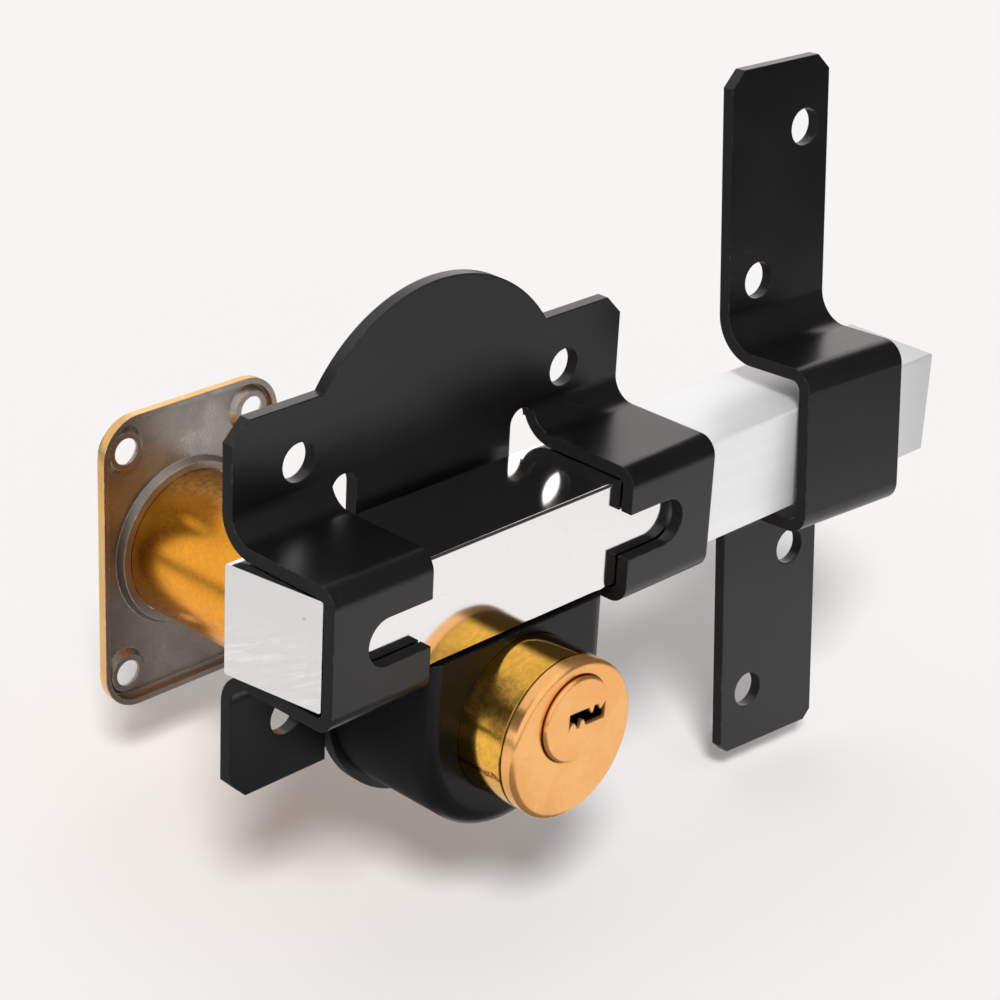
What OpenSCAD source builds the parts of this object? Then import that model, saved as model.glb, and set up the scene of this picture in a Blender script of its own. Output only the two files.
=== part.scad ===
/* [Bolt] */
// Side of the square bolt
bolt_side = 20; // [18:0.5:22]
// Distance from the middle of the lock to the bolt's striking end
bolt_reach = 113; // [100:1:140]
// Distance from the middle of the lock to the tail end, at its front edge
bolt_tail = 45.5; // [40:0.5:60]
// Extra length of the tail at its back edge, where the saw ran out of square
tail_skew = 2.7; // [0:0.1:5]
// Rounding of the bolt's long edges
bolt_edge_r = 0.5; // [0.2:0.1:1.5]
// Running gap between the bolt and the lock plate behind it
bolt_back_gap = 1.6; // [0.5:0.1:3]

/* [Rack and pinion] */
// Tooth module of the rack and the pinion
tooth_module = 1.25; // [1.2:0.01:1.3]
// Number of teeth on the pinion, which sets the throw of one key turn
pinion_teeth = 21; // [20:1:22]
// Pressure angle of the teeth
pressure_angle = 20; // [18:0.5:22]
// Play between the teeth, measured along the pitch line
tooth_play = 0.2; // [0.1:0.05:0.4]
// Face width of the pinion
pinion_w = 8; // [6:0.5:9]
// Gap between the pinion's faces and the sides of the rack pocket
rack_side_gap = 2; // [0.5:0.1:3]
// Length of the pinion's journal behind its teeth
journal_len = 8.7; // [4:0.1:12]
// Thickness of the thrust washer behind the pinion
washer_t = 0.8; // [0.5:0.1:1]
// Width of the thrust washer's ring
washer_rim = 1.4; // [1:0.1:1.8]

/* [Sheet steel] */
// Thickness of the pressed steel sheet
sheet_t = 2.3; // [1.8:0.1:2.6]
// Inside radius of the tight bends at the front corners
tight_bend_r = 1.2; // [0.8:0.1:2]
// Inside radius of the wide bends where a saddle leaves the plate
wide_bend_r = 4.5; // [3:0.1:5.5]

/* [Lock plate] */
// Half the clear width between the two saddles
saddle_inner_x = 23.9; // [23.9:0.1:28]
// Width of each saddle and of the wing above it
saddle_w = 21.6; // [19:0.1:26]
// Gap between the bolt and the top of a saddle
saddle_top_gap = 0.2; // [0.1:0.05:0.8]
// Gap between the bolt and the front of a saddle
saddle_front_gap = 0.3; // [0.1:0.05:0.8]
// Gap between the bolt and the bottom of a saddle
saddle_bottom_gap = 1; // [0.2:0.1:1.5]
// Height of the wings' top edge above the bolt's middle
wing_rise = 32.5; // [30:0.5:40]
// Corner cut on the wings and the lower flanges
plate_chamfer = 3.6; // [1:0.1:6]
// Radius of the round head between the wings
head_r = 31.6; // [28:0.1:36]
// Height of the round head's centre above the bolt's middle
head_rise = 14.6; // [12:0.1:20]
// Width of the arched windows beside the saddles
window_w = 5.5; // [4:0.1:6]
// Height of the slot in the front of each saddle
slot_h = 8.6; // [5:0.1:10]
// Distance from the middle of the lock to the centre of the slot's round end
slot_end_x = 33.5; // [30:0.1:36]
// Depth of the lower flanges' bottom edge under the barrel's axis
flange_drop = 10; // [7:0.1:20]
// Radius of the fixing bolt holes
fixing_r = 3.5; // [2.5:0.1:4]
// Half the spacing of the wing holes
wing_hole_x = 31.3; // [30:0.1:36]
// Height of the wing holes above the bolt's middle
wing_hole_rise = 22; // [21:0.1:26]
// Half the spacing of the lower flange holes
flange_hole_x = 33; // [29:0.1:36]
// Height of the lower flange holes above the barrel's axis
flange_hole_z = 2; // [-3:0.1:3]
// Margin of the plate's lower lobe round the housing
lobe_margin = 1.7; // [0.5:0.1:1.7]
// Width of the sheared line between the lower lobe and the flanges
shear_gap = 0.3; // [0.1:0.05:0.6]

/* [Housing] */
// Distance from the barrel's side to the outside of the pinion housing
housing_room = 7.4; // [7:0.1:7.7]
// Wall of the pinion housing
housing_wall = 2.3; // [1.8:0.1:2.5]
// Rounding of the housing's front shoulder
shoulder_r = 3.5; // [2:0.1:4]
// Distance by which the housing's front stands out past the bolt
housing_lip = 0.6; // [0:0.1:2]
// Gap between the housing's flat top and the bolt
housing_top_gap = 0.5; // [0.3:0.05:0.8]
// Radius of the screw bosses inside the housing
boss_r = 2.6; // [2.2:0.1:3]
// Depth by which a boss runs into the housing's wall
boss_bite = 1; // [0.5:0.1:2]
// Distance from the housing's flat top down to its upper screws
boss_drop = 4.7; // [3.5:0.1:6]
// Radius of the housing screws
screw_r = 1.5; // [1:0.05:1.6]
// Radius of the countersunk screw heads
screw_head_r = 2.8; // [2:0.1:3]
// Length of the housing screws, head included
screw_len = 12; // [8:0.5:18]
// Width of the cross slots in the screw heads
screw_slot_w = 0.6; // [0.4:0.05:0.8]
// Depth of those cross slots
screw_slot_deep = 0.6; // [0.4:0.05:0.7]
// Gap between the front barrel's flange and the lowest boss
boss_gap = 0.2; // [0.1:0.05:0.4]

/* [Lock cylinders] */
// Radius of the two brass barrels
barrel_r = 14.5; // [14.1:0.1:14.8]
// Distance by which the front barrel stands out of the housing
barrel_stand = 12.9; // [10:0.1:20]
// Thickness of the face rings
ring_t = 3; // [2:0.1:4]
// Rounding of the face rings' outer edge
ring_edge_r = 0.9; // [0.3:0.1:1.5]
// Depth of the groove line behind a face ring
ring_groove = 0.25; // [0.1:0.05:0.4]
// Width of the flanges that hold the barrels
barrel_flange_w = 1.9; // [1:0.1:2.3]
// Thickness of those flanges
barrel_flange_t = 1.5; // [1:0.1:2]
// Length of a lock cylinder behind its flange
barrel_tail = 1.05; // [1:0.05:1.4]
// Radius of a plug
plug_r = 7.8; // [7:0.1:8.2]
// Wall of a barrel over its plug
plug_cover = 2.4; // [2.2:0.1:2.8]
// Distance by which a plug stands out of its face ring
plug_stand = 1; // [0.5:0.1:2]
// Rounding of the plug's front edge
plug_edge_r = 0.5; // [0.2:0.1:0.8]
// Width of the keyway
keyway_w = 9; // [7:0.1:10]
// Height of the keyway
keyway_h = 3.4; // [2.5:0.1:4.5]
// Distance of the keyway's middle from the plug's axis
keyway_shift = 2.2; // [1.5:0.1:2.6]
// Depth of the keyway
keyway_depth = 16; // [10:0.5:16.5]
// Radial running clearance of the turning pieces
run_gap = 0.05; // [0.02:0.01:0.1]
// Gap between pieces that stand end to end
seat = 0.05; // [0.02:0.01:0.1]
// Length of a plug's neck, which carries the clip
neck_len = 1.6; // [1.4:0.1:2]
// Radius of a plug's neck
neck_r = 5.5; // [4.9:0.1:6]
// Height of the collar that keeps the clip on the neck
neck_collar = 0.9; // [0.5:0.1:1.2]
// Thickness of the clip on the neck
clip_t = 1; // [0.6:0.1:1.1]
// Outer radius of that clip
clip_r = 8.6; // [8.3:0.1:9]
// Half the opening of the clip, as a share of the neck's radius
clip_open = 0.8; // [0.6:0.05:0.9]
// Gap between the clip and the bore round it
clip_gap = 0.3; // [0.2:0.1:0.5]
// Length of the drive tongue behind the neck
tongue_len = 5.1; // [4:0.1:6]
// Width of the drive tongue
tongue_w = 9; // [7:0.1:9.2]
// Thickness of the drive tongue
tongue_t = 3; // [2:0.1:4]
// Gap round a drive tongue in its slot
tongue_gap = 0.1; // [0.05:0.05:0.3]
// Gap between the tip of a drive tongue and what it points at
tongue_tip_gap = 0.5; // [0.2:0.1:0.8]
// Radius of the coupling bar between the pinion and the rear plug
bar_r = 7.4; // [6:0.1:7.7]

/* [Pin stacks] */
// Number of pins in each cylinder
pin_count = 4; // [3:1:4]
// Radius of the pins
pin_r = 1.25; // [1:0.05:1.3]
// Length of the driver pins
driver_len = 4.2; // [3:0.1:5]
// Wire radius of the pin springs
spring_wire_r = 0.16; // [0.1:0.01:0.2]
// Number of turns of a pin spring
spring_turns = 5; // [3:1:7]
// Distance from the face ring's back to the first pin
first_pin_room = 3; // [2.5:0.1:3.2]
// Distance from the last pin to the cylinder's rear end
last_pin_room = 2.2; // [2:0.1:2.4]
// Height of a key pin's lower end above the plug's axis
key_pin_top = 0.6; // [0.4:0.1:1]
// Length of the cone on a key pin's end
key_pin_tip = 0.6; // [0.4:0.1:0.8]
// Distance of a key pin's flat end inside the plug's surface
shear_line_gap = 0.15; // [0.1:0.05:0.3]
// Wall of the barrel outside the spring chambers
chamber_wall = 1.3; // [1:0.1:1.6]

/* [Rear plate] */
// Clear space for the gate between the lock plate and the rear plate's rim
gate_space = 60.8; // [40:0.1:75]
// Width of the rear plate
rear_w = 42; // [41:0.5:56]
// Height of the rear plate
rear_h = 60; // [58:0.5:76]
// Corner radius of the rear plate
rear_corner_r = 8; // [5:0.1:10]
// Thickness of the rear plate's sheet
rear_t = 1.1; // [0.8:0.1:1.3]
// Depth of the dished rear plate
rear_depth = 3; // [2.4:0.1:3.4]
// Rounding of the rear plate's outer edge
rear_edge_r = 1.8; // [1.5:0.1:2.2]
// Distance by which the rear barrel stands out of the rear plate
rear_stand = 3; // [1:0.1:6]
// Half the sideways spacing of the rear screw holes
rear_hole_x = 15.2; // [14:0.1:15.5]
// Half the upright spacing of the rear screw holes
rear_hole_z = 23; // [22:0.1:23.2]
// Radius of the rear screw holes
rear_hole_r = 2.6; // [2:0.1:3]
// Width of the sloped edge of a screw dimple
dimple_slope = 1.5; // [1:0.1:1.9]
// Height of a screw dimple above the dished floor
dimple_h = 1.2; // [0.8:0.1:1.3]
// Width of the raised collar round the barrel
collar_w = 2.6; // [2:0.1:3]
// Height of that collar above the dished floor
collar_h = 1.5; // [1:0.1:1.6]
// Slope of the collar's flank, sideways for each unit of height
collar_slope = 0.7; // [0.4:0.1:0.9]
// Share of the sheet's thickness left straight in a screw hole
hole_land = 0.4; // [0.2:0.1:0.6]
// Gap between the rear plate and the barrel that it slides on
rear_slide_gap = 0.1; // [0.05:0.05:0.5]

/* [Keep] */
// Width of the keep's strap
keep_w = 25.4; // [20:0.1:30]
// Distance from the keep's flange to the front of its loop
keep_depth = 20.4; // [20.3:0.1:26]
// Height of the loop's top above the bolt's middle line
loop_top = 16.1; // [15.5:0.1:18.5]
// Depth of the loop's bottom under the same line
loop_bottom = 15.7; // [15.5:0.1:17]
// Inside radius of the wide bends where the loop leaves the flange
keep_bend_r = 6; // [4:0.1:7]
// Inside radius of the bends at the front of the loop
keep_corner_r = 1.8; // [1:0.1:3]
// Height of the keep's top edge above the bolt's middle line
keep_top = 67.7; // [64:0.1:90]
// Depth of the keep's bottom edge under that line
keep_bottom = 67.9; // [66:0.1:95]
// Corner cut at the keep's top
keep_top_chamfer = 3; // [0.5:0.1:4]
// Corner cut at the keep's bottom
keep_bottom_chamfer = 1.8; // [0.5:0.1:4]
// Distance of the top hole from the strap's near edge
keep_hole_a_x = 19.2; // [18:0.1:20]
// Height of the top hole
keep_hole_a = 54.6; // [50:0.1:58]
// Distance of the next hole from that edge
keep_hole_b_x = 7.7; // [5:0.1:9]
// Height of that hole
keep_hole_b = 27.5; // [27:0.1:34]
// Distance of the hole below the loop from the same edge
keep_hole_c_x = 18.1; // [15:0.1:20]
// Depth of that hole
keep_hole_c = 28.8; // [28:0.1:40]
// Distance of the bottom hole from the same edge
keep_hole_d_x = 7.2; // [5:0.1:9]
// Depth of the bottom hole
keep_hole_d = 56.1; // [52:0.1:60]
// Place of the keep's near edge along the bolt
keep_x = 72.7; // [70:0.1:84]
// Distance of the keep's flange in front of the lock plate's gate face
keep_y = 7.3; // [7.2:0.1:7.8]
// Pitch of the loose keep on the bolt, in degrees
keep_pitch = 5.2; // [4:0.1:5.4]
// Turn of the loose keep about the upright, in degrees
keep_turn = 4.5; // [0:0.1:4.5]

/* [Hidden] */
$fn = 96;

// cut is the overrun of a cutting shape past the face it opens, and hair that of a cone
cut = 1;
hair = 0.01;
window_round = window_w / 2;

// Lock cylinders
plug_rise = barrel_r - plug_r - plug_cover;
barrel_flange_r = barrel_r + barrel_flange_w;

// Rack and pinion
pitch_r = tooth_module * pinion_teeth / 2;
tip_r = pitch_r + tooth_module;
root_r = pitch_r - 1.25 * tooth_module;
base_r = pitch_r * cos(pressure_angle);
tooth_pitch = PI * tooth_module;

// Bolt
bolt_z = plug_rise + pitch_r - tooth_module + bolt_side / 2;
bolt_bottom_z = bolt_z - bolt_side / 2;
bolt_back_y = -sheet_t - bolt_back_gap;
bolt_front_y = bolt_back_y - bolt_side;

// Saddles and plate
saddle_front_y = bolt_front_y - saddle_front_gap - sheet_t;
saddle_top_z = bolt_z + bolt_side / 2 + saddle_top_gap + sheet_t;
saddle_bottom_z = bolt_bottom_z - saddle_bottom_gap - sheet_t;
bend_top_z = saddle_top_z + wide_bend_r;
bend_bottom_z = saddle_bottom_z - wide_bend_r;
plate_x = saddle_inner_x + saddle_w;
strip_x = saddle_inner_x - window_w;

// Housing
housing_r = barrel_r + housing_room;
housing_front_y = bolt_front_y - housing_lip;
housing_top_z = bolt_bottom_z - housing_top_gap;
cavity_r = housing_r - housing_wall;
boss_x = cavity_r - boss_r + boss_bite;
boss_z = housing_top_z - boss_drop;
boss_places = [[-boss_x, boss_z], [boss_x, boss_z], [0, -boss_x]];
lobe_r = housing_r + lobe_margin;
screw_head_t = screw_head_r - screw_r;

// Cylinder stack along Y, from the front face to the rear face
cylinder_depth = barrel_stand + housing_wall + seat + barrel_flange_t + barrel_tail;
front_face_y = housing_front_y - barrel_stand;
neck_end = cylinder_depth + neck_len;
pinion_front_y = front_face_y + neck_end + seat;
pinion_back_y = pinion_front_y + pinion_w;
tube_front_y = pinion_back_y + washer_t + 2 * seat;
journal_end_y = pinion_back_y + journal_len;
rear_outer_y = gate_space + rear_depth;
rear_face_y = rear_outer_y + rear_stand;
bar_rear_y = rear_face_y - neck_end - seat;
tube_bore_r = clip_r + clip_gap;
front_tongue_tip_y = front_face_y + neck_end + tongue_len;
rear_tongue_tip_y = rear_face_y - neck_end - tongue_len;

// Pin stacks, measured from the face of a cylinder and from the plug's axis
bore_r = plug_r + run_gap;
chamber_r = pin_r + run_gap;
chamber_floor = barrel_r + plug_rise - chamber_wall;
first_pin = ring_t + first_pin_room;
pin_pitch = (cylinder_depth - last_pin_room - first_pin) / (pin_count - 1);
driver_top = bore_r + seat;
driver_bottom = driver_top + driver_len;

// A cylinder along +Y
module rod(r, len) {
    rotate([-90, 0, 0])
        cylinder(r = r, h = len);
}

// A flat shape drawn in X and Z, filled from one depth to another
module upright(y_from, y_to) {
    translate([0, y_to, 0])
        rotate([90, 0, 0])
            linear_extrude(y_to - y_from)
                children();
}

// A section drawn in Y and Z, run along X
module along_x(x_from, x_to) {
    translate([x_from, 0, 0])
        rotate([90, 0, 90])
            linear_extrude(x_to - x_from)
                children();
}

// A quarter ring of sheet round the origin, from the -Y to the +X direction
module bend_section(inner_r) {
    intersection() {
        difference() {
            circle(inner_r + sheet_t);
            circle(inner_r);
        }
        translate([0, -inner_r - sheet_t])
            square(inner_r + sheet_t);
    }
}

// The section of a bent strip: each run is [length, inside radius], with the sheet's thickness
// to the left of the run. It then turns to the left, or with a negative radius to the right
module strip_section(runs, i = 0) {
    len_i = runs[i][0];
    r = runs[i][1];
    if (len_i > 0)
        square([len_i, sheet_t]);
    translate([len_i, 0]) {
        if (r > 0) {
            translate([0, r + sheet_t])
                bend_section(r);
            translate([r + sheet_t, r + sheet_t])
                rotate(90)
                    strip_section(runs, i + 1);
        }
        if (r < 0) {
            translate([0, r])
                rotate(90)
                    bend_section(-r);
            translate([-r, r])
                rotate(-90)
                    strip_section(runs, i + 1);
        }
    }
}

// Flat steel above and below, and a hat-shaped loop in front of it
function hat_runs(above, out, up, below, wide_r, tight_r) =
    let (straight = out - wide_r - tight_r - sheet_t)
        [
            [above, -wide_r],
            [straight, tight_r],
            [up - 2 * (tight_r + sheet_t), tight_r],
            [straight, -wide_r],
            [below, 0]
        ];

// Lock plate
module wing_outline() {
    wing_z = bolt_z + wing_rise;
    polygon([
        [-plate_x, bend_top_z],
        [plate_x, bend_top_z],
        [plate_x, wing_z - plate_chamfer],
        [plate_x - plate_chamfer, wing_z],
        [-plate_x + plate_chamfer, wing_z],
        [-plate_x, wing_z - plate_chamfer]
    ]);
    intersection() {
        translate([0, bolt_z + head_rise])
            circle(head_r);
        translate([-head_r, bend_top_z])
            square([2 * head_r, head_r * 2]);
    }
}

module u_outline(r, top) {
    intersection() {
        union() {
            circle(r);
            translate([-r, 0])
                square([2 * r, top]);
        }
        translate([-r, -r])
            square([2 * r, r + top]);
    }
}

module middle_outline() {
    lobe_x = min(lobe_r, saddle_inner_x - shear_gap);
    intersection() {
        u_outline(lobe_r, housing_top_z);
        translate([-lobe_x, -lobe_r])
            square([2 * lobe_x, lobe_r + housing_top_z]);
    }
    difference() {
        translate([-saddle_inner_x, housing_top_z])
            square([2 * saddle_inner_x, bend_top_z - housing_top_z]);
        for (side = [-1, 1])
            translate([side * (saddle_inner_x - window_round), 0]) {
                translate([0, bend_top_z - window_round])
                    circle(window_round);
                translate([-window_round, 0])
                    square([window_w, bend_top_z - window_round]);
            }
    }
}

module saddle() {
    difference() {
        translate([saddle_inner_x, -sheet_t, bend_top_z])
            rotate([90, 90, 90])
                linear_extrude(saddle_w)
                    strip_section(hat_runs(0, -saddle_front_y - sheet_t, saddle_top_z - saddle_bottom_z,
                        bend_bottom_z + flange_drop, wide_bend_r, tight_bend_r));
        slot();
        translate([plate_x, 0, -flange_drop])
            rotate([90, 45, 0])
                cube([plate_chamfer * sqrt(2), plate_chamfer * sqrt(2), 4 * sheet_t], center = true);
        translate([flange_hole_x, -sheet_t - cut, flange_hole_z])
            rod(fixing_r, sheet_t + 2 * cut);
    }
}

module slot() {
    upright(saddle_front_y - cut, bolt_front_y) {
        translate([slot_end_x, bolt_z])
            circle(d = slot_h);
        translate([saddle_inner_x - cut, bolt_z - slot_h / 2])
            square([slot_end_x - saddle_inner_x + cut, slot_h]);
    }
}

module lock_plate() {
    color("#232323")
    difference() {
        union() {
            upright(-sheet_t, 0) {
                wing_outline();
                middle_outline();
            }
            saddle();
            mirror([1, 0, 0])
                saddle();
        }
        translate([0, -sheet_t - cut, 0])
            rod(barrel_r + run_gap, sheet_t + 2 * cut);
        for (side = [-1, 1])
            translate([side * wing_hole_x, -sheet_t - cut, bolt_z + wing_hole_rise])
                rod(fixing_r, sheet_t + 2 * cut);
        for (p = boss_places)
            translate([p[0], 0, p[1]])
                rotate([90, 0, 0])
                    screw_form(sheet_t + cut, run_gap);
    }
}

// A countersunk screw along +Z with its head's flat at the origin, grown all round by a gap
module screw_form(len, gap) {
    cylinder(r = screw_r + gap, h = len);
    cylinder(r1 = screw_head_r + gap, r2 = screw_r + gap, h = screw_head_t);
    translate([0, 0, -cut * sign(gap)])
        cylinder(r = screw_head_r + gap, h = cut * sign(gap) + hair);
}

// Pinion housing
module rounded_cup(r, y_front, y_back, edge_r, top) {
    upright(y_front + edge_r, y_back)
        u_outline(r, top);
    upright(y_front, y_back)
        u_outline(r - edge_r, top);
    translate([0, y_front + edge_r, 0])
        rotate([-90, 0, 0])
            rotate_extrude(angle = 180)
                translate([r - edge_r, 0])
                    circle(edge_r);
    for (side = [-1, 1])
        translate([side * (r - edge_r), y_front + edge_r, 0])
            cylinder(r = edge_r, h = top);
}

module housing() {
    color("#262626")
    difference() {
        union() {
            difference() {
                rounded_cup(housing_r, housing_front_y, -sheet_t, shoulder_r, housing_top_z);
                upright(housing_front_y + housing_wall, cut - sheet_t)
                    u_outline(cavity_r, housing_top_z + cut);
            }
            intersection() {
                for (p = boss_places)
                    translate([p[0], housing_front_y + housing_wall / 2, p[1]])
                        rod(boss_r, -sheet_t - housing_front_y - housing_wall / 2);
                upright(housing_front_y, -sheet_t)
                    u_outline(housing_r - housing_wall / 2, housing_top_z);
            }
        }
        translate([0, housing_front_y - cut, 0])
            rod(barrel_r + run_gap, housing_wall + 2 * cut);
        for (p = boss_places)
            translate([p[0], 0, p[1]])
                rotate([90, 0, 0])
                    cylinder(r = screw_r + run_gap, h = screw_len + cut);
    }
}

module housing_screws() {
    color("#b9babd")
    for (p = boss_places)
        translate([p[0], 0, p[1]])
            rotate([90, 0, 0])
                difference() {
                    union() {
                        cylinder(r = screw_r, h = screw_len);
                        cylinder(r1 = screw_head_r, r2 = screw_r, h = screw_head_t);
                    }
                    for (turn = [0, 90])
                        rotate(turn)
                            cube([screw_slot_w, screw_head_r, 2 * screw_slot_deep], center = true);
                }
}

// Lock cylinders, drawn from their face at y = 0 towards +Y
module at_front() {
    translate([0, front_face_y, 0])
        children();
}

module at_rear() {
    translate([0, rear_face_y, 0])
        rotate([0, 0, 180])
            children();
}

// Half the section of a disc or a bar that is len deep, with its edge rounded at y = 0
module soft_edge_section(half_w, len, edge_r) {
    square([half_w - edge_r, len]);
    translate([0, edge_r])
        square([half_w, len - edge_r]);
    intersection() {
        translate([half_w - edge_r, edge_r])
            circle(edge_r, $fn = 48);
        square([half_w, edge_r]);
    }
}

module rounded_disc(r, len, edge_r) {
    rotate([-90, 0, 0])
        rotate_extrude()
            soft_edge_section(r, len, edge_r);
}

module bevelled_rod(r, len, bevel) {
    rotate([-90, 0, 0]) {
        cylinder(r1 = r - bevel, r2 = r, h = bevel);
        translate([0, 0, bevel])
            cylinder(r = r, h = len - bevel);
    }
}

module plug_bore(from, to) {
    translate([0, from, plug_rise])
        rod(bore_r, to - from);
}

module pin_places() {
    for (i = [0 : pin_count - 1])
        translate([0, first_pin + i * pin_pitch, plug_rise])
            rotate([180, 0, 0])
                children();
}

module face_ring() {
    difference() {
        union() {
            rounded_disc(barrel_r, ring_t - ring_groove, ring_edge_r);
            translate([0, ring_t - ring_groove, 0])
                rotate([-90, 0, 0])
                    cylinder(r1 = barrel_r, r2 = barrel_r - ring_groove, h = ring_groove);
        }
        plug_bore(-cut, ring_t + cut);
    }
}

// The barrel's flange has a flat under the bolt and another that bears on the lower boss
module barrel_flange(y_from) {
    flat_z = -boss_x + boss_r + boss_gap;
    upright(y_from, y_from + barrel_flange_t)
        intersection() {
            circle(barrel_flange_r);
            translate([-barrel_flange_r, flat_z])
                square([2 * barrel_flange_r, housing_top_z - flat_z]);
        }
}

module chambers() {
    pin_places()
        cylinder(r = chamber_r, h = chamber_floor);
}

module front_barrel() {
    color("#c08a2c")
    difference() {
        union() {
            at_front()
                translate([0, ring_t, 0])
                    bevelled_rod(barrel_r, cylinder_depth - ring_t, ring_groove);
            barrel_flange(housing_front_y + housing_wall + seat);
        }
        at_front() {
            plug_bore(0, cylinder_depth + cut);
            chambers();
        }
    }
}

module front_face_ring() {
    color("#d9904a")
    at_front()
        face_ring();
}

// The broken line of the keyway: half of its outline, the rest is the same half turned about
function keyway_half() = [
    [-0.49, 0.50], [0.033, 0.44], [0.10, 0.09], [0.145, 0.09], [0.19, 0.43],
    [0.278, 0.41], [0.345, 0.09], [0.378, 0.09], [0.50, 0.41]
];

module keyway_outline() {
    half = [for (p = keyway_half()) [p[0] * keyway_w, p[1] * keyway_h]];
    polygon(concat(half, -half));
}

module plug() {
    difference() {
        translate([0, 0, plug_rise])
            union() {
                translate([0, -plug_stand, 0])
                    rounded_disc(plug_r, cylinder_depth + plug_stand, plug_edge_r);
                rod(neck_r, neck_end);
                translate([0, cylinder_depth + clip_t + 2 * seat, 0])
                    rod(neck_r + neck_collar, neck_len - clip_t - 2 * seat);
                translate([-tongue_w / 2, 0, -tongue_t / 2])
                    cube([tongue_w, neck_end + tongue_len, tongue_t]);
            }
        upright(-plug_stand - cut, keyway_depth)
            translate([keyway_shift, plug_rise])
                keyway_outline();
        pin_places()
            cylinder(r = chamber_r, h = bore_r);
    }
}

module front_plug() {
    color("#dd9a52")
    at_front()
        plug();
}

// An open spring clip round the plug's neck
module clip() {
    translate([0, cylinder_depth + clip_t + seat, plug_rise])
        rotate([90, 0, 0])
            linear_extrude(clip_t)
                difference() {
                    circle(clip_r);
                    circle(neck_r + run_gap);
                    translate([-neck_r * clip_open, 0])
                        square([2 * neck_r * clip_open, clip_r + cut]);
                }
}

module front_clip() {
    color("#8f9295")
    at_front()
        clip();
}

module key_pins() {
    pin_places() {
        translate([0, 0, key_pin_top])
            cylinder(r1 = pin_r - key_pin_tip, r2 = pin_r, h = key_pin_tip);
        translate([0, 0, key_pin_top + key_pin_tip])
            cylinder(r = pin_r, h = plug_r - shear_line_gap - key_pin_top - key_pin_tip);
    }
}

module front_key_pins() {
    color("#c9a24a")
    at_front()
        key_pins();
}

module drivers() {
    pin_places()
        translate([0, 0, driver_top])
            cylinder(r = pin_r, h = driver_len);
}

module front_drivers() {
    color("#a9acb0")
    at_front()
        drivers();
}

// One closed coil of round wire that climbs along +Z
module coil(mean_r, wire_r, height, turns) {
    steps = turns * 8;
    sides = 4;
    rise = (height - 2 * wire_r) / steps;
    points = [
        for (i = [0 : steps])
            for (j = [0 : sides - 1])
                let (a = i * 45, b = j * 360 / sides, rr = mean_r + wire_r * cos(b))
                    [rr * cos(a), rr * sin(a), wire_r + i * rise + wire_r * sin(b)]
    ];
    side_faces = [
        for (i = [0 : steps - 1])
            for (j = [0 : sides - 1])
                let (k = (j + 1) % sides, p = i * sides, q = p + sides)
                    each [[p + j, p + k, q + k], [p + j, q + k, q + j]]
    ];
    last = steps * sides;
    end_faces = [[0, 3, 2], [0, 2, 1], [last, last + 1, last + 2], [last, last + 2, last + 3]];
    polyhedron(points = points, faces = concat(side_faces, end_faces));
}

module springs() {
    pin_places()
        translate([0, 0, driver_bottom + seat])
            coil(pin_r - spring_wire_r - seat, spring_wire_r, chamber_floor - driver_bottom - 2 * seat,
                spring_turns);
}

module front_springs() {
    color("#c4c6c8")
    at_front()
        springs();
}

// Pinion
function involute(a) = tan(a) - a * PI / 180;

function tooth_half_angle(r) =
    let (a = acos(min(1, base_r / r)))
        90 / pinion_teeth - tooth_play / (2 * pitch_r) * 90 / PI
            + (involute(pressure_angle) - involute(a)) * 180 / PI;

module pinion_outline() {
    flank_steps = 4;
    low_r = base_r + hair;
    flank = concat(root_r, [for (t = [0 : flank_steps]) low_r + t / flank_steps * (tip_r - low_r)]);
    count = len(flank);
    polygon([
        for (i = [0 : pinion_teeth - 1])
            for (j = [0 : 2 * count - 1])
                let (
                    up = j < count,
                    r = flank[up ? j : 2 * count - 1 - j],
                    half = tooth_half_angle(r),
                    a = 90 - i * 360 / pinion_teeth + (up ? half : -half)
                )
                    [r * cos(a), r * sin(a)]
    ]);
}

// The slot that a drive tongue works in, along +Y from the origin
module tongue_slot(len) {
    translate([-tongue_w / 2 - tongue_gap, 0, -tongue_t / 2 - tongue_gap])
        cube([tongue_w + 2 * tongue_gap, len, tongue_t + 2 * tongue_gap]);
}

module pinion() {
    color("#9a9ea3")
    translate([0, 0, plug_rise])
        difference() {
            union() {
                upright(pinion_front_y, pinion_back_y)
                    pinion_outline();
                translate([0, pinion_back_y - cut, 0])
                    rod(tube_bore_r - run_gap, journal_len + cut);
            }
            translate([0, pinion_front_y - cut, 0])
                tongue_slot(pinion_w + journal_len + 2 * cut);
        }
}

module thrust_washer() {
    color("#b98b45")
    translate([0, pinion_back_y + seat, plug_rise])
        difference() {
            rod(tube_bore_r + washer_rim, washer_t);
            translate([0, -cut, 0])
                rod(tube_bore_r, washer_t + 2 * cut);
        }
}

module coupling_bar() {
    body_front_y = journal_end_y + seat;
    tip_y = front_tongue_tip_y + tongue_tip_gap;
    slot_y = rear_tongue_tip_y - tongue_tip_gap;
    color("#a3a6aa")
    translate([0, 0, plug_rise])
        difference() {
            union() {
                translate([0, body_front_y, 0])
                    rod(bar_r, bar_rear_y - body_front_y);
                translate([-tongue_w / 2, tip_y, -tongue_t / 2])
                    cube([tongue_w, body_front_y + cut - tip_y, tongue_t]);
            }
            translate([0, slot_y, 0])
                tongue_slot(bar_rear_y - slot_y + cut);
        }
}

module rear_barrel() {
    color("#d08a1c")
    difference() {
        union() {
            at_rear()
                translate([0, ring_t, 0])
                    bevelled_rod(barrel_r, rear_face_y - ring_t - tube_front_y, ring_groove);
            barrel_flange(-sheet_t - barrel_flange_t - seat);
        }
        translate([0, tube_front_y - cut, plug_rise])
            rod(tube_bore_r, rear_face_y - cylinder_depth - tube_front_y + cut);
        at_rear() {
            plug_bore(0, cylinder_depth + cut);
            chambers();
        }
    }
}

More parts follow.
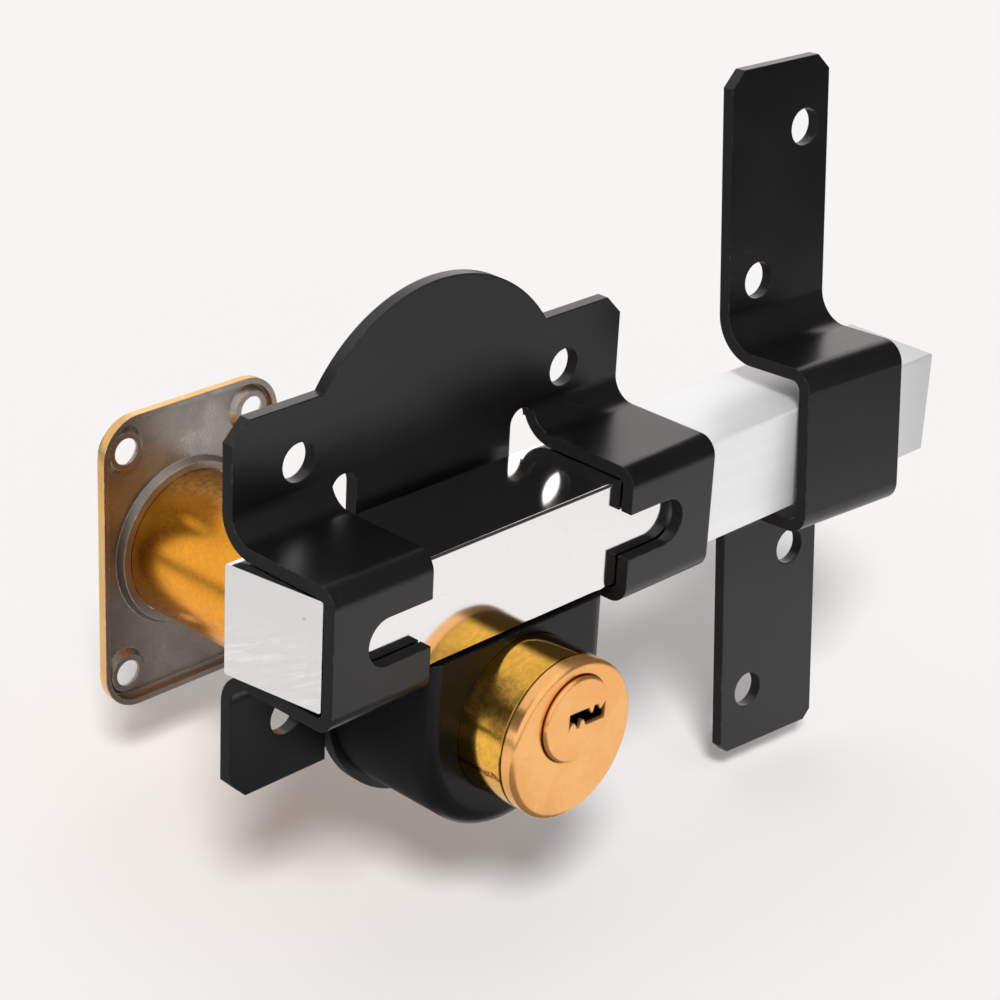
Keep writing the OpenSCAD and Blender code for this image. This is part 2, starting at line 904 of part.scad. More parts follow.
module rear_face_ring() {
    color("#d9904a")
    at_rear()
        face_ring();
}

module rear_plug() {
    color("#dd9a52")
    at_rear()
        plug();
}

module rear_clip() {
    color("#8f9295")
    at_rear()
        clip();
}

module rear_key_pins() {
    color("#c9a24a")
    at_rear()
        key_pins();
}

module rear_drivers() {
    color("#a9acb0")
    at_rear()
        drivers();
}

module rear_springs() {
    color("#c4c6c8")
    at_rear()
        springs();
}

// Rear plate: a shallow dish with its rim towards the gate
module soft_bar_section(w, t, edge_r) {
    for (side = [0, 1])
        mirror([side, 0])
            soft_edge_section(w / 2, t, edge_r);
}

// A slab with round corners from y_from to y_to, its edge at y_to rounded all the way about
module soft_slab(w, h, corner_r, edge_r, y_from, y_to) {
    t = y_to - y_from;
    translate([0, y_to, 0])
        mirror([0, 1, 0]) {
            translate([0, 0, -h / 2 + corner_r])
                linear_extrude(h - 2 * corner_r)
                    soft_bar_section(w, t, edge_r);
            translate([-w / 2 + corner_r, 0, 0])
                rotate([0, 90, 0])
                    linear_extrude(w - 2 * corner_r)
                        soft_bar_section(h, t, edge_r);
            for (sx = [-1, 1])
                for (sz = [-1, 1])
                    translate([sx * (w / 2 - corner_r), 0, sz * (h / 2 - corner_r)])
                        rounded_disc(corner_r, t, edge_r);
        }
}

module rear_plate() {
    floor_y = rear_outer_y - rear_t;
    slide_r = barrel_r + rear_slide_gap;
    color("#c79433")
    difference() {
        union() {
            difference() {
                soft_slab(rear_w, rear_h, rear_corner_r, rear_edge_r, gate_space, rear_outer_y);
                soft_slab(rear_w - 2 * rear_t, rear_h - 2 * rear_t, rear_corner_r - rear_t,
                    rear_edge_r - rear_t, gate_space - cut, floor_y);
            }
            translate([0, floor_y - collar_h, 0])
                rotate([-90, 0, 0])
                    cylinder(r1 = slide_r + collar_w - collar_h * collar_slope, r2 = slide_r + collar_w,
                        h = collar_h + rear_t / 2);
            for (sx = [-1, 1])
                for (sz = [-1, 1])
                    translate([sx * rear_hole_x, floor_y - dimple_h, sz * rear_hole_z])
                        rotate([-90, 0, 0])
                            cylinder(r1 = rear_hole_r + rear_t, r2 = rear_hole_r + rear_t + dimple_slope,
                                h = dimple_h + rear_t / 2);
        }
        translate([0, gate_space, 0])
            rod(slide_r, rear_depth + cut);
        translate([0, rear_outer_y - collar_h, 0])
            rotate([-90, 0, 0])
                cylinder(r1 = slide_r, r2 = slide_r + collar_w - rear_t, h = collar_h + hair);
        for (sx = [-1, 1])
            for (sz = [-1, 1])
                translate([sx * rear_hole_x, gate_space, sz * rear_hole_z]) {
                    rod(rear_hole_r, rear_depth + cut);
                    translate([0, rear_depth - rear_t - dimple_h + rear_t * hole_land, 0])
                        rotate([-90, 0, 0])
                            cylinder(r1 = rear_hole_r, r2 = rear_hole_r + dimple_slope,
                                h = dimple_h + rear_t * (1 - hole_land) + hair);
                }
    }
}

// Bolt
module bolt_section() {
    mid = bolt_side / 2 - bolt_edge_r;
    square([bolt_side - 2 * bolt_edge_r, bolt_side], center = true);
    square([bolt_side, bolt_side - 2 * bolt_edge_r], center = true);
    for (sx = [-1, 1])
        for (sy = [-1, 1])
            translate([sx * mid, sy * mid])
                circle(bolt_edge_r, $fn = 32);
}

module rack_gaps() {
    half = tooth_pitch / 4 + tooth_play / 4;
    slope = tan(pressure_angle);
    root = 1.25 * tooth_module;
    low = tooth_module + cut;
    entry = round(sqrt(tip_r * tip_r - pow(pitch_r - tooth_module, 2)) / tooth_pitch);
    upright(pinion_front_y - rack_side_gap, pinion_back_y + rack_side_gap)
        for (k = [-entry : pinion_teeth + entry])
            translate([k * tooth_pitch, plug_rise + pitch_r])
                polygon([
                    [-half - low * slope, -low],
                    [half + low * slope, -low],
                    [half - root * slope, root],
                    [-half + root * slope, root]
                ]);
}

module bolt() {
    far_x = bolt_tail + tail_skew;
    lean = tail_skew / bolt_side;
    color("#d7d9db")
    difference() {
        along_x(-far_x, bolt_reach)
            translate([(bolt_front_y + bolt_back_y) / 2, bolt_z])
                bolt_section();
        translate([0, 0, bolt_bottom_z - cut])
            linear_extrude(bolt_side + 2 * cut)
                polygon([
                    [-far_x - cut, bolt_front_y - cut],
                    [-bolt_tail + lean * cut, bolt_front_y - cut],
                    [-far_x - lean * cut, bolt_back_y + cut],
                    [-far_x - cut, bolt_back_y + cut]
                ]);
        rack_gaps();
    }
}

// Keep
module keep_corner(x, z, size) {
    translate([x, 0, z])
        rotate([90, 45, 0])
            cube([size * sqrt(2), size * sqrt(2), 4 * sheet_t], center = true);
}

module keep_strap() {
    above = keep_top - loop_top - keep_bend_r;
    below = keep_bottom - loop_bottom - keep_bend_r;
    hole_places = [
        [keep_hole_a_x, keep_hole_a],
        [keep_hole_b_x, keep_hole_b],
        [keep_hole_c_x, -keep_hole_c],
        [keep_hole_d_x, -keep_hole_d]
    ];
    difference() {
        translate([0, 0, keep_top])
            rotate([90, 90, 90])
                linear_extrude(keep_w)
                    strip_section(hat_runs(above, keep_depth, loop_top + loop_bottom, below,
                        keep_bend_r, keep_corner_r));
        for (x = [0, keep_w]) {
            keep_corner(x, keep_top, keep_top_chamfer);
            keep_corner(x, -keep_bottom, keep_bottom_chamfer);
        }
        for (p = hole_places)
            translate([p[0], -cut, p[1]])
                rod(fixing_r, sheet_t + 2 * cut);
    }
}

module keep() {
    color("#202020")
    translate([keep_x, -keep_y, bolt_z])
        rotate([-keep_pitch, 0, -keep_turn])
            keep_strap();
}

lock_plate();
housing();
housing_screws();
front_barrel();
front_face_ring();
front_plug();
front_clip();
front_key_pins();
front_drivers();
front_springs();
pinion();
thrust_washer();
coupling_bar();
rear_barrel();
rear_face_ring();
rear_plug();
rear_clip();
rear_key_pins();
rear_drivers();
rear_springs();
rear_plate();
bolt();
keep();
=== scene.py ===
from math import radians

import bpy
import numpy as np
from mathutils import Euler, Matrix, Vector


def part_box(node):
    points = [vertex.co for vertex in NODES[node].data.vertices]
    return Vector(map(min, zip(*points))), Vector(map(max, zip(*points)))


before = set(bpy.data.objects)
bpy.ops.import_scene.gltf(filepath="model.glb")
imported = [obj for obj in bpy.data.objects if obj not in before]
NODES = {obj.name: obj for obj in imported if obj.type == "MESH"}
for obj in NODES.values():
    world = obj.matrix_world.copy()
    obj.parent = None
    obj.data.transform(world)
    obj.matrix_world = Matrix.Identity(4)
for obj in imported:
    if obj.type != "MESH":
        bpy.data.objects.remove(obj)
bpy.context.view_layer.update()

MM = 0.001


# Node helpers

def put(tree, kind, ins=(), **settings):
    """Adds a shader node, sets its properties and feeds its inputs by name or place; a socket is linked."""
    node = tree.nodes.new("ShaderNode" + kind)
    for name, value in settings.items():
        setattr(node, name, value)
    for key, value in (ins.items() if isinstance(ins, dict) else enumerate(ins)):
        if isinstance(value, bpy.types.NodeSocket):
            tree.links.new(value, node.inputs[key])
        else:
            node.inputs[key].default_value = value
    return node


def calc(tree, operation, *values):
    """One step of arithmetic on single values."""
    return put(tree, "Math", values, operation=operation).outputs[0]


def plus(tree, first, *terms):
    """The sum of several values."""
    for term in terms:
        first = calc(tree, "ADD", first, term)
    return first


def times(tree, first, *factors):
    """The product of several values."""
    for factor in factors:
        first = calc(tree, "MULTIPLY", first, factor)
    return first


def gap(tree, first, second):
    """How far apart two values are."""
    return calc(tree, "ABSOLUTE", calc(tree, "SUBTRACT", first, second))


def fade(tree, value, low, high):
    """A smooth step from 0 at low to 1 at high; low may be the larger."""
    ins = {"Value": value, "From Min": low, "From Max": high}
    return put(tree, "MapRange", ins, interpolation_type="SMOOTHSTEP").outputs[0]


def blend(tree, share, first, second):
    """Mixes two colours; a share of 1 gives the second."""
    return put(tree, "Mix", {0: share, 6: first, 7: second}, data_type="RGBA").outputs[2]


def layered(tree, colour, *layers):
    """Lays colours over a first one, each by its own share."""
    for share, over in layers:
        colour = blend(tree, share, colour, over)
    return colour


def noise(tree, vector, scale, detail=2.0, rough=0.5, warp=0.0):
    """Fractal noise from 0 to 1."""
    ins = {"Vector": vector, "Scale": scale, "Detail": detail, "Roughness": rough, "Distortion": warp}
    return put(tree, "TexNoise", ins).outputs[0]


def stretched(tree, vector, scale, turn=(0, 0, 0), shift=(0, 0, 0)):
    """The coordinates moved, then turned, then scaled, so that a stretched pattern can lie at a slant."""
    ins = {"Vector": vector, "Location": [-part for part in shift], "Rotation": turn,
           "Scale": [1.0 / part for part in scale]}
    return put(tree, "Mapping", ins, vector_type="TEXTURE").outputs[0]


def moved(tree, vector, shift):
    """The coordinates moved, to take a pattern's middle or another stretch of it."""
    return stretched(tree, vector, (1, 1, 1), shift=shift)


def axes(tree, vector):
    """The x, y and z of a vector."""
    return put(tree, "SeparateXYZ", [vector]).outputs


def facing(tree):
    """The x, y and z of the way that the piece's own surface faces."""
    return axes(tree, put(tree, "TexCoord").outputs["Normal"])


def length(tree, vector):
    """The length of a vector."""
    return put(tree, "VectorMath", [vector], operation="LENGTH").outputs["Value"]


def dot(tree, first, second):
    """The dot product of two vectors."""
    return put(tree, "VectorMath", [first, second], operation="DOT_PRODUCT").outputs["Value"]


def grey(value):
    """A neutral colour."""
    return (value, value, value, 1.0)


def darker(colour, factor):
    """A colour times a factor."""
    return tuple(part * factor for part in colour[:3]) + (1.0,)


def new_group(name, inputs, outputs):
    """An empty shader node group with named sockets, its inner input and its inner output."""
    group = bpy.data.node_groups.new(name, "ShaderNodeTree")
    for socket, value in inputs.items():
        kind = VECTOR if value is None else VALUE
        made = group.interface.new_socket(socket, in_out="INPUT", socket_type=kind)
        if value is not None:
            made.default_value = value
    for socket, kind in outputs.items():
        group.interface.new_socket(socket, in_out="OUTPUT", socket_type=kind)
    return group, group.nodes.new("NodeGroupInput").outputs, group.nodes.new("NodeGroupOutput").inputs


def use(tree, group, **ins):
    """Places a group in a material with its own values, and gives its outputs."""
    node = tree.nodes.new("ShaderNodeGroup")
    node.node_tree = group
    for name, value in ins.items():
        key = name.capitalize()
        if isinstance(value, bpy.types.NodeSocket):
            tree.links.new(value, node.inputs[key])
        else:
            node.inputs[key].default_value = value
    return node.outputs


# Shared effects

VALUE = "NodeSocketFloat"
VECTOR = "NodeSocketVector"

# Cosines between the true and the rounded normal, where an edge's mask starts and where it is full
EDGE_START = 0.995
EDGE_FULL = 0.86


def make_soft_edge():
    """Rounds the look of sharp edges, and gives a mask of them, whole and broken up by noise."""
    group, ins, outs = new_group("soft_edge", {"Vector": None, "Radius": 0.3 * MM, "Breakup": 900.0},
                                 {"Normal": VECTOR, "Edge": VALUE, "Worn": VALUE})
    rounded = put(group, "Bevel", {"Radius": ins["Radius"]}, samples=6).outputs[0]
    flat = group.nodes.new("ShaderNodeNewGeometry").outputs["Normal"]
    edge = fade(group, dot(group, rounded, flat), EDGE_START, EDGE_FULL)
    chips = fade(group, noise(group, ins["Vector"], ins["Breakup"], detail=4.0, rough=0.65), 0.53, 0.63)
    group.links.new(rounded, outs["Normal"])
    group.links.new(edge, outs["Edge"])
    group.links.new(times(group, edge, chips), outs["Worn"])
    return group


def make_dust():
    """Scattered specks: the middles of some cells of a cell pattern, each of its own size and strength."""
    group, ins, outs = new_group("dust", {"Vector": None, "Scale": 300.0, "Share": 0.15, "Size": 0.2},
                                 {"Mask": VALUE})
    cells = put(group, "TexVoronoi", {"Vector": ins["Vector"], "Scale": ins["Scale"], "Randomness": 1.0})
    chance, bulk, weight = put(group, "SeparateColor", [cells.outputs["Color"]]).outputs
    chosen = calc(group, "LESS_THAN", chance, ins["Share"])
    size = times(group, ins["Size"], plus(group, times(group, bulk, 0.8), 0.3))
    speck = calc(group, "LESS_THAN", cells.outputs["Distance"], size)
    strength = plus(group, times(group, weight, 0.7), 0.3)
    group.links.new(times(group, chosen, speck, strength), outs["Mask"])
    return group


def make_patches():
    """Tarnish: broad soft patches with fine speckle inside them."""
    group, ins, outs = new_group("patches",
                                 {"Vector": None, "Scale": 60.0, "Speckle": 900.0, "Contrast": 0.12},
                                 {"Mask": VALUE, "Fine": VALUE})
    broad = noise(group, ins["Vector"], ins["Scale"], detail=5.0, rough=0.6, warp=0.4)
    fine = noise(group, ins["Vector"], ins["Speckle"], detail=3.0, rough=0.7)
    both = plus(group, times(group, broad, 0.72), times(group, fine, 0.28))
    low = calc(group, "SUBTRACT", 0.5, ins["Contrast"])
    high = plus(group, 0.5, ins["Contrast"])
    group.links.new(fade(group, both, low, high), outs["Mask"])
    group.links.new(fine, outs["Fine"])
    return group


def make_scratches():
    """Thin broken lines: where a noise crosses its middle value."""
    group, ins, outs = new_group("scratches", {"Vector": None, "Scale": 120.0, "Width": 0.004, "Share": 0.5},
                                 {"Mask": VALUE})
    off_line = gap(group, noise(group, ins["Vector"], ins["Scale"], detail=1.0), 0.5)
    thin = calc(group, "LESS_THAN", off_line, ins["Width"])
    where = noise(group, ins["Vector"], times(group, ins["Scale"], 2.3))
    group.links.new(times(group, thin, calc(group, "LESS_THAN", where, ins["Share"])), outs["Mask"])
    return group


def make_turning():
    """Tool marks of a lathe: noise over the distance from the Y axis through the given coordinates."""
    group, ins, outs = new_group("turning", {"Vector": None, "Pitch": 0.4 * MM},
                                 {"Radius": VALUE, "Mark": VALUE})
    x, _, z = axes(group, ins["Vector"])
    radius = length(group, put(group, "CombineXYZ", [x, 0.0, z]).outputs[0])
    along = put(group, "CombineXYZ", [calc(group, "DIVIDE", radius, ins["Pitch"]), 0.0, 0.0]).outputs[0]
    group.links.new(radius, outs["Radius"])
    group.links.new(noise(group, along, 1.0), outs["Mark"])
    return group


SOFT_EDGE = make_soft_edge()
DUST = make_dust()
PATCHES = make_patches()
SCRATCHES = make_scratches()
TURNING = make_turning()


# Materials: lengths are in metres, scales in repeats to a metre, angles about the barrels' axis

def start_material(name):
    """An empty material with a Principled shader.

    Gives the material, its tree, the shader and the Object coordinates.
    """
    material = bpy.data.materials.new(name)
    material.use_nodes = True
    tree = material.node_tree
    tree.nodes.clear()
    surface = put(tree, "BsdfPrincipled")
    out = put(tree, "OutputMaterial")
    tree.links.new(surface.outputs[0], out.inputs[0])
    return material, tree, surface, put(tree, "TexCoord").outputs["Object"]


def feed(tree, surface, **ins):
    """Links or sets the Principled shader's inputs."""
    for name, value in ins.items():
        key = name.replace("_", " ").title()
        if isinstance(value, bpy.types.NodeSocket):
            tree.links.new(value, surface.inputs[key])
        else:
            surface.inputs[key].default_value = value


def bumped(tree, height, strength, distance, normal):
    """A normal with fine relief laid over it."""
    ins = {"Height": height, "Strength": strength, "Distance": distance, "Normal": normal}
    return put(tree, "Bump", ins).outputs[0]


COAT_BLACK = (0.0034, 0.0033, 0.0033, 1)
COAT_CLOUD = (0.0056, 0.0053, 0.0052, 1)
COAT_HAIR = grey(0.05)
COAT_CHIP = (0.12, 0.115, 0.11, 1)
COAT_SPECK = (0.26, 0.25, 0.23, 1)
COAT_ROUGH = 0.25
CUT_SIDE_ROUGH = 0.6


def black_coat_material(name, gloss):
    """Powder coat: fine orange peel, faint cloudiness, pale specks, hair scratches and chipped corners.

    Faces cut across the sheet, which look along X, are rougher than its rolled faces.
    """
    material, tree, surface, place = start_material(name)
    surface.inputs["Specular IOR Level"].default_value = gloss
    edge = use(tree, SOFT_EDGE, vector=place, radius=0.4 * MM, breakup=700.0)
    peel = noise(tree, place, scale=1500.0, detail=3.0, rough=0.6)
    cloud = noise(tree, place, scale=45.0, detail=3.0, rough=0.6)
    slanted = stretched(tree, place, (1, 1, 0.25), turn=(0.5, 0.3, 0.7))
    hair = use(tree, SCRATCHES, vector=slanted, scale=55.0, width=0.0010, share=0.40)["Mask"]
    specks = use(tree, DUST, vector=place, scale=300.0, share=0.06, size=0.045)["Mask"]
    colour = layered(tree, COAT_BLACK,
                     (fade(tree, cloud, 0.35, 0.7), COAT_CLOUD),
                     (times(tree, hair, 0.22), COAT_HAIR),
                     (times(tree, edge["Worn"], 0.35), COAT_CHIP),
                     (specks, COAT_SPECK))
    cut_side = fade(tree, calc(tree, "ABSOLUTE", facing(tree)[0]), 0.55, 0.85)
    rough = plus(tree, COAT_ROUGH, times(tree, cloud, 0.10), times(tree, cut_side, CUT_SIDE_ROUGH))
    feed(tree, surface, base_color=colour, roughness=rough,
         normal=bumped(tree, peel, 0.10, 0.1 * MM, edge["Normal"]))
    return material


BOLT_MIRROR = (0.93, 0.922, 0.918, 1)
BOLT_SATIN = (0.87, 0.868, 0.875, 1)
BOLT_GRAIN = (0.91, 0.907, 0.91, 1)
BOLT_TAIL = (0.68, 0.68, 0.665, 1)
BOLT_TIP_SHADE = (0.50, 0.50, 0.505, 1)
BOLT_STROKE = (0.86, 0.86, 0.855, 1)
BOLT_RIM = (0.47, 0.47, 0.475, 1)
BOLT_DIRT = (0.03, 0.028, 0.026, 1)
BOLT_NICK = grey(0.35)
# Where the bright part turns satin and where painted shade of the keep greys the bolt's end, along X, and
# where the strokes end, along Z
SATIN_START, SATIN_FULL = 36 * MM, 42 * MM
TIP_SHADE_START, TIP_SHADE_FULL = 88 * MM, 113 * MM
STROKES_TOP, STROKES_FULL = 31 * MM, 22 * MM


def bolt_material():
    """Square bolt: mirror bright between the saddles, satin beyond, sawn and brushed at the tail, with
    painted shade of the keep greying its far end.
    """
    material, tree, surface, place = start_material("bolt_bright_and_satin")
    x, _, z = axes(tree, place)
    edge = use(tree, SOFT_EDGE, vector=place, radius=0.12 * MM, breakup=1200.0)
    satin = fade(tree, x, SATIN_START, SATIN_FULL)
    tail = fade(tree, facing(tree)[0], -0.7, -0.9)
    dull = calc(tree, "MAXIMUM", satin, tail)
    # Painted shade: the bolt's end beyond the keep is greyed as if the keep shaded it.
    tip_shade = fade(tree, x, TIP_SHADE_START, TIP_SHADE_FULL)
    grain = noise(tree, stretched(tree, place, (14, 700, 700)), scale=1.0, detail=3.0, rough=0.6)
    sawn = stretched(tree, place, (200, 130, 1100), turn=(-0.5, 0, 0))
    saw = noise(tree, sawn, scale=1.0, detail=4.0, rough=0.65)
    strokes = times(tree, fade(tree, saw, 0.46, 0.72), fade(tree, z, STROKES_TOP, STROKES_FULL), tail)
    cloud = noise(tree, place, scale=70.0, detail=4.0, rough=0.6)
    marks = use(tree, DUST, vector=place, scale=260.0, share=0.09, size=0.10)["Mask"]
    slanted = stretched(tree, place, (0.4, 1, 1), turn=(0.2, 0.1, 0.4))
    nicks = use(tree, SCRATCHES, vector=slanted, scale=90.0, width=0.0012, share=0.36)["Mask"]
    rim = times(tree, edge["Edge"], dull)
    chips = times(tree, fade(tree, noise(tree, place, scale=620.0), 0.60, 0.66), edge["Edge"], tail)
    colour = layered(tree, BOLT_MIRROR,
                     (satin, BOLT_SATIN),
                     (times(tree, fade(tree, grain, 0.40, 0.70), satin, 0.5), BOLT_GRAIN),
                     (tail, BOLT_TAIL),
                     (times(tree, tip_shade, 0.75), BOLT_TIP_SHADE),
                     (times(tree, strokes, 0.6), BOLT_STROKE),
                     (times(tree, rim, 0.55), BOLT_RIM),
                     (times(tree, marks, plus(tree, times(tree, tail, 0.5), 0.08)), BOLT_DIRT),
                     (times(tree, chips, 0.9), BOLT_DIRT),
                     (times(tree, nicks, 0.22), BOLT_NICK))
    rough = plus(tree, 0.05, times(tree, cloud, 0.06), times(tree, dull, 0.34))
    metal = calc(tree, "SUBTRACT", 1.0, times(tree, dull, 0.68))
    height = plus(tree, times(tree, grain, dull, 0.5), times(tree, saw, tail))
    feed(tree, surface, base_color=colour, metallic=metal, roughness=rough,
         normal=bumped(tree, height, 0.08, 0.04 * MM, edge["Normal"]))
    return material


STAIN_RED = (0.20, 0.035, 0.008, 1)
BRASS_SPECK = (0.75, 0.68, 0.5, 1)
SEAM_BROWN = (0.07, 0.035, 0.010, 1)
# Each barrel has a darker, rougher band at a fixed angle: tarnished, and also a painted reflection, of a dark
# studio side on the front barrel and of the rear plate on the rear barrel.
FRONT_BRASS = {"light": (0.95, 0.51, 0.075, 1), "deep": (0.62, 0.36, 0.045, 1),
               "tarnish_and_painted_reflection": (0.58, 0.32, 0.065, 1), "shift": (13 * MM, 0.0, 21 * MM),
               "band_middle": radians(146), "band_half": radians(17), "stain_line": radians(-165),
               "rough_low": 0.10, "seam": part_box("front_face_ring")[1][1]}
REAR_BRASS = {"light": (1.0, 0.41, 0.032, 1), "deep": (0.90, 0.36, 0.035, 1),
              "tarnish_and_painted_reflection": (0.90, 0.46, 0.13, 1), "shift": (50 * MM, 0.0, 0.0),
              "band_middle": radians(92), "band_half": radians(20), "stain_line": radians(-120),
              "rough_low": 0.24, "seam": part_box("rear_face_ring")[0][1]}


def barrel_material(name, light, deep, tarnish_and_painted_reflection, shift, band_middle, band_half, stain_line, rough_low, seam):
    """Turned brass: patchy tone, a speckled tarnished band on one side that is also a painted dark
    reflection, a red-brown stain line and a dark end seam.
    """
    material, tree, surface, place = start_material(name)
    own = moved(tree, place, shift)
    patch = use(tree, PATCHES, vector=own, scale=85.0, speckle=1500.0, contrast=0.10)
    fine = use(tree, PATCHES, vector=own, scale=900.0, speckle=3600.0, contrast=0.06)
    x, y, z = axes(tree, place)
    angle = calc(tree, "ARCTAN2", z, x)
    drift = times(tree, calc(tree, "SUBTRACT", noise(tree, own, scale=70.0, detail=3.0), 0.5), 0.9)
    from_band_middle = calc(tree, "ABSOLUTE", plus(tree, calc(tree, "SUBTRACT", angle, band_middle), drift))
    # Painted reflection: the band round the barrel at a fixed angle is tarnished and also stands in for a
    # dark reflection.
    tarnish_and_reflection_band = fade(tree, from_band_middle, band_half + 0.16, band_half - 0.10)
    wander = times(tree, calc(tree, "SUBTRACT", noise(tree, place, scale=500.0), 0.5), 0.14)
    off_stain = calc(tree, "ABSOLUTE", plus(tree, calc(tree, "SUBTRACT", angle, stain_line), wander))
    dots = fade(tree, noise(tree, place, scale=1700.0), 0.36, 0.46)
    specks = use(tree, DUST, vector=place, scale=420.0, share=0.05, size=0.07)["Mask"]
    colour = layered(tree, light,
                     (times(tree, patch["Mask"], 0.45), deep),
                     (times(tree, tarnish_and_reflection_band, 0.80), tarnish_and_painted_reflection),
                     (times(tree, fine["Mask"], plus(tree, times(tree, tarnish_and_reflection_band, 0.45), 0.22)),
                      darker(tarnish_and_painted_reflection, 0.55)),
                     (times(tree, fade(tree, off_stain, 0.05, 0.02), dots, 0.9), STAIN_RED),
                     (specks, BRASS_SPECK),
                     (fade(tree, gap(tree, y, seam), 0.18 * MM, 0.10 * MM), SEAM_BROWN))
    rough = plus(tree, rough_low, times(tree, patch["Mask"], 0.05), times(tree, tarnish_and_reflection_band, 0.22))
    turned = noise(tree, stretched(tree, place, (20, 3000, 20)), scale=1.0)
    edge = use(tree, SOFT_EDGE, vector=place, radius=0.2 * MM, breakup=900.0)
    height = plus(tree, times(tree, turned, 0.3), fine["Fine"])
    feed(tree, surface, base_color=colour, metallic=1.0, roughness=rough,
         normal=bumped(tree, height, 0.08, 0.03 * MM, edge["Normal"]))
    return material


FACE_COPPER = (1.0, 0.53, 0.185, 1)
FACE_DEEP = (0.98, 0.45, 0.135, 1)
FACE_BLOTCH = (0.96, 0.41, 0.115, 1)
FACE_RING = (1.0, 0.62, 0.28, 1)
FACE_PIT = (0.34, 0.14, 0.03, 1)
FACE_EDGE = (1.0, 0.66, 0.36, 1)
PLUG_LINE = (0.10, 0.035, 0.008, 1)
KEYWAY_PAINTED_SHADE = (0.012, 0.006, 0.002, 1)
# The plugs' axis lies above the barrels' axis; a dark line runs round a plug, and the keyway stays inside it
PLUG_AXIS = 4.3 * MM
LINE_RADIUS = 7.9 * MM
KEYWAY_NONE, KEYWAY_FULL = 7.4 * MM, 7.0 * MM
BELOW_START, BELOW_FULL = 0.6 * MM, 0.9 * MM


def face_material():
    """Faced copper-toned brass: faint rings of the lathe, cloudy tone, small dark pits, brighter edges.

    A dark line lies round the plug, and the keyway is painted near black with shade from just below the
    plug's face.
    """
    material, tree, surface, place = start_material("copper_toned_face")
    rings = use(tree, TURNING, vector=moved(tree, place, (0, 0, -PLUG_AXIS)), pitch=0.22 * MM)
    patch = use(tree, PATCHES, vector=place, scale=75.0, speckle=1300.0, contrast=0.11)
    pits = use(tree, DUST, vector=place, scale=500.0, share=0.08, size=0.09)["Mask"]
    edge = use(tree, SOFT_EDGE, vector=place, radius=0.5 * MM, breakup=900.0)
    blotch = fade(tree, noise(tree, place, scale=130.0, detail=3.0, rough=0.6, warp=0.5), 0.52, 0.66)
    y = axes(tree, place)[1]
    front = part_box("front_plug")[0][1]
    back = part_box("rear_plug")[1][1]
    below = times(tree, fade(tree, y, front + BELOW_START, front + BELOW_FULL),
                  fade(tree, y, back - BELOW_START, back - BELOW_FULL))
    # Painted shade: the keyway's walls are coloured near black as if shaded.
    keyway = times(tree, below, fade(tree, rings["Radius"], KEYWAY_NONE, KEYWAY_FULL))
    off_line = gap(tree, rings["Radius"], LINE_RADIUS)
    plug_line = times(tree, below, fade(tree, off_line, 0.30 * MM, 0.16 * MM))
    colour = layered(tree, FACE_COPPER,
                     (times(tree, patch["Mask"], 0.8), FACE_DEEP),
                     (times(tree, blotch, 0.55), FACE_BLOTCH),
                     (times(tree, rings["Mark"], 0.15), FACE_RING),
                     (times(tree, pits, 0.5), FACE_PIT),
                     (times(tree, edge["Edge"], 0.2), FACE_EDGE),
                     (times(tree, plug_line, 0.85), PLUG_LINE),
                     (keyway, KEYWAY_PAINTED_SHADE))
    rough = plus(tree, 0.17, times(tree, patch["Mask"], 0.10))
    feed(tree, surface, base_color=colour, metallic=0.85, roughness=rough,
         normal=bumped(tree, rings["Mark"], 0.04, 0.03 * MM, edge["Normal"]))
    return material


STEEL_BROWN = (0.28, 0.243, 0.215, 1)
STEEL_CLOUD = (0.40, 0.36, 0.33, 1)
STEEL_PALE = (0.62, 0.57, 0.52, 1)
STEEL_PATCH = (0.17, 0.135, 0.115, 1)
STEEL_DARK = (0.13, 0.105, 0.088, 1)
STEEL_SCUFF = (0.70, 0.67, 0.63, 1)
GOLD_PLATE = (0.86, 0.51, 0.19, 1)
GOLD_DEEP = (0.78, 0.46, 0.14, 1)
GOLD_LINE = (0.95, 0.80, 0.56, 1)
PLATE_EDGE = (0.80, 0.72, 0.60, 1)
PLATE_CHIP = (0.88, 0.85, 0.80, 1)
PLATE_CORNER = 8 * MM


